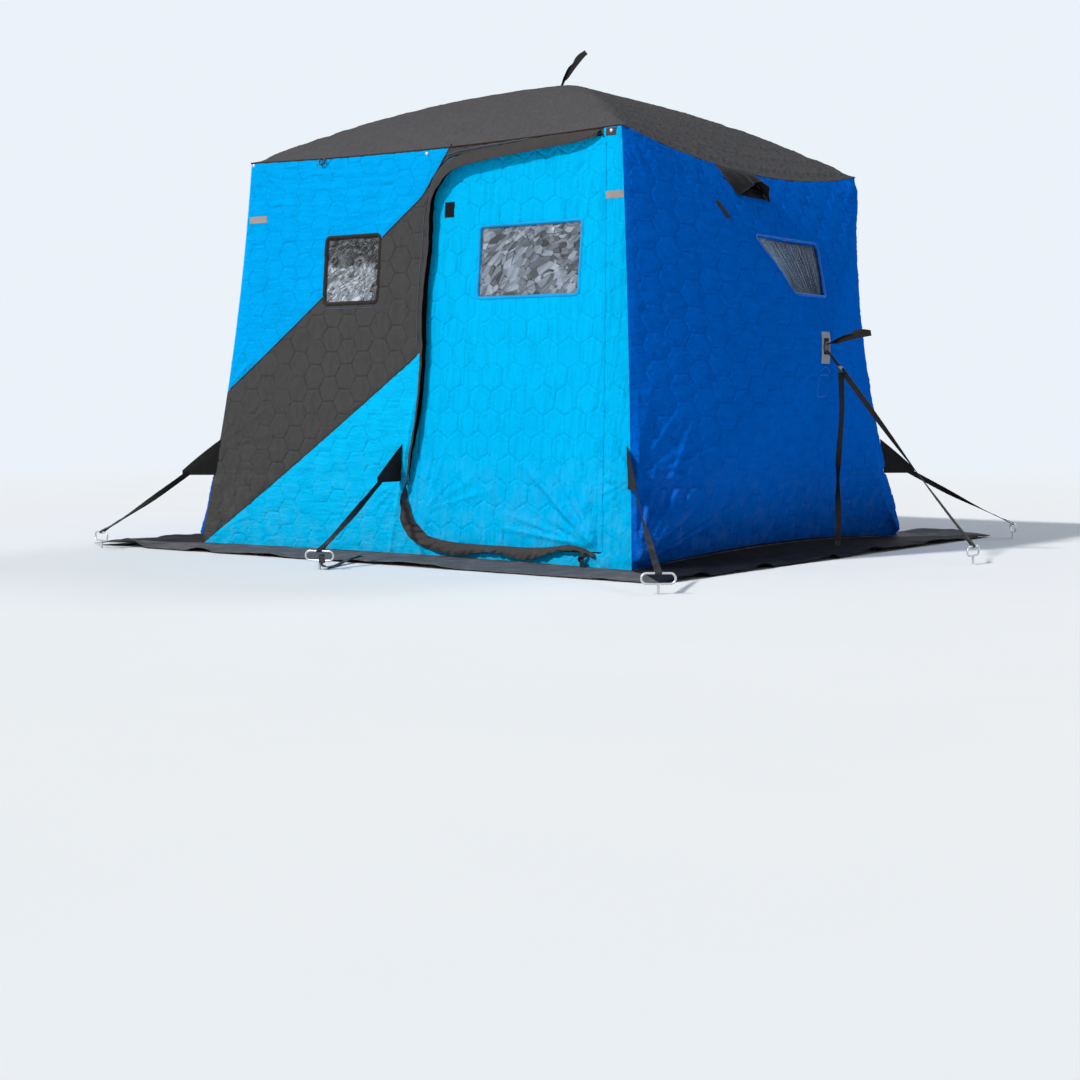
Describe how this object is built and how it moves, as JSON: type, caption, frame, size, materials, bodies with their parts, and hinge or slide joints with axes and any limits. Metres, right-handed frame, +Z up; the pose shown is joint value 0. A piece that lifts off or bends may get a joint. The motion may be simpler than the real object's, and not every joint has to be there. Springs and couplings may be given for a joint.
{
  "type": "ice fishing hut",
  "caption": "Pop-up quilted fabric ice fishing shelter with three bulging hub walls, domed roof, D-shaped door, windows, skirt and pegged guy lines.",
  "frame": {"origin": "on the ice, at the middle of the footprint, where the box around the pitched shelter and its guys is centred", "axes": "+Z up, -Y out of the door wall, +X to the right seen from in front"},
  "size_m": [4.2996, 3.825, 2.3578],
  "materials": {
    "blue_cloth": "quilted woven polyester, matt",
    "grey_cloth": "quilted woven polyester, matt",
    "skirt_cloth": "plain woven polyester, matt",
    "black_webbing": "ribbed webbing",
    "black_binding": "folded tape binding",
    "clear_vinyl": "clear flexible sheet",
    "fibreglass": "drawn glass fibre rod",
    "black_plastic": "moulded nylon",
    "zinc_wire": "zinc plated",
    "bare_aluminium": "extruded"
  },
  "bodies": {
    "shelter": {"back_hub": "black_plastic", "back_poles": "fibreglass", "back_skirt": "skirt_cloth", "back_wall": "blue_cloth", "back_window_binding": "black_binding", "back_window_pane": "clear_vinyl", "corner_anchors": "zinc_wire", "corner_guy_straps": "black_webbing", "corner_sockets": "black_plastic", "door_hinge_cord": "black_binding", "front_band_panel": "grey_cloth", "front_header_panel": "grey_cloth", "front_hinge_panel": "blue_cloth", "front_lower_panel": "blue_cloth", "front_sill_panel": "blue_cloth", "front_skirt": "skirt_cloth", "front_upper_panel": "blue_cloth", "front_window_binding": "black_binding", "front_window_pane": "clear_vinyl", "guy_gussets": "black_webbing", "header_bar_left": "bare_aluminium", "header_bar_right": "bare_aluminium", "header_hinge": "bare_aluminium", "hub_anchors": "zinc_wire", "hub_guy_buckles": "black_plastic", "hub_guy_straps": "black_webbing", "hub_guy_tails": "black_webbing", "hub_pull_loops": "black_webbing", "left_hub": "black_plastic", "left_poles": "fibreglass", "left_skirt": "skirt_cloth", "left_vent_hood": "grey_cloth", "left_wall": "blue_cloth", "left_window_binding": "black_binding", "left_window_pane": "clear_vinyl", "right_hub": "black_plastic", "right_poles": "fibreglass", "right_skirt": "skirt_cloth", "right_vent_hood": "grey_cloth", "right_wall": "blue_cloth", "right_window_binding": "black_binding", "right_window_pane": "clear_vinyl", "roof": "grey_cloth", "roof_hub": "black_plastic", "roof_poles": "fibreglass", "roof_pull_loop": "black_webbing"},
    "door": {"door_panel": "blue_cloth", "door_window_pane": "clear_vinyl", "door_window_binding": "black_binding", "door_storm_flap": "grey_cloth"}
  },
  "joints": [
    {"name": "door_hinge", "type": "hinge", "parent": "shelter", "child": "door", "pos_m": [1.07105, -1.22029, 0.00718], "axis": [-0.0622, 0.0973, 0.9933], "range_deg": [0, 100]}
  ]
}
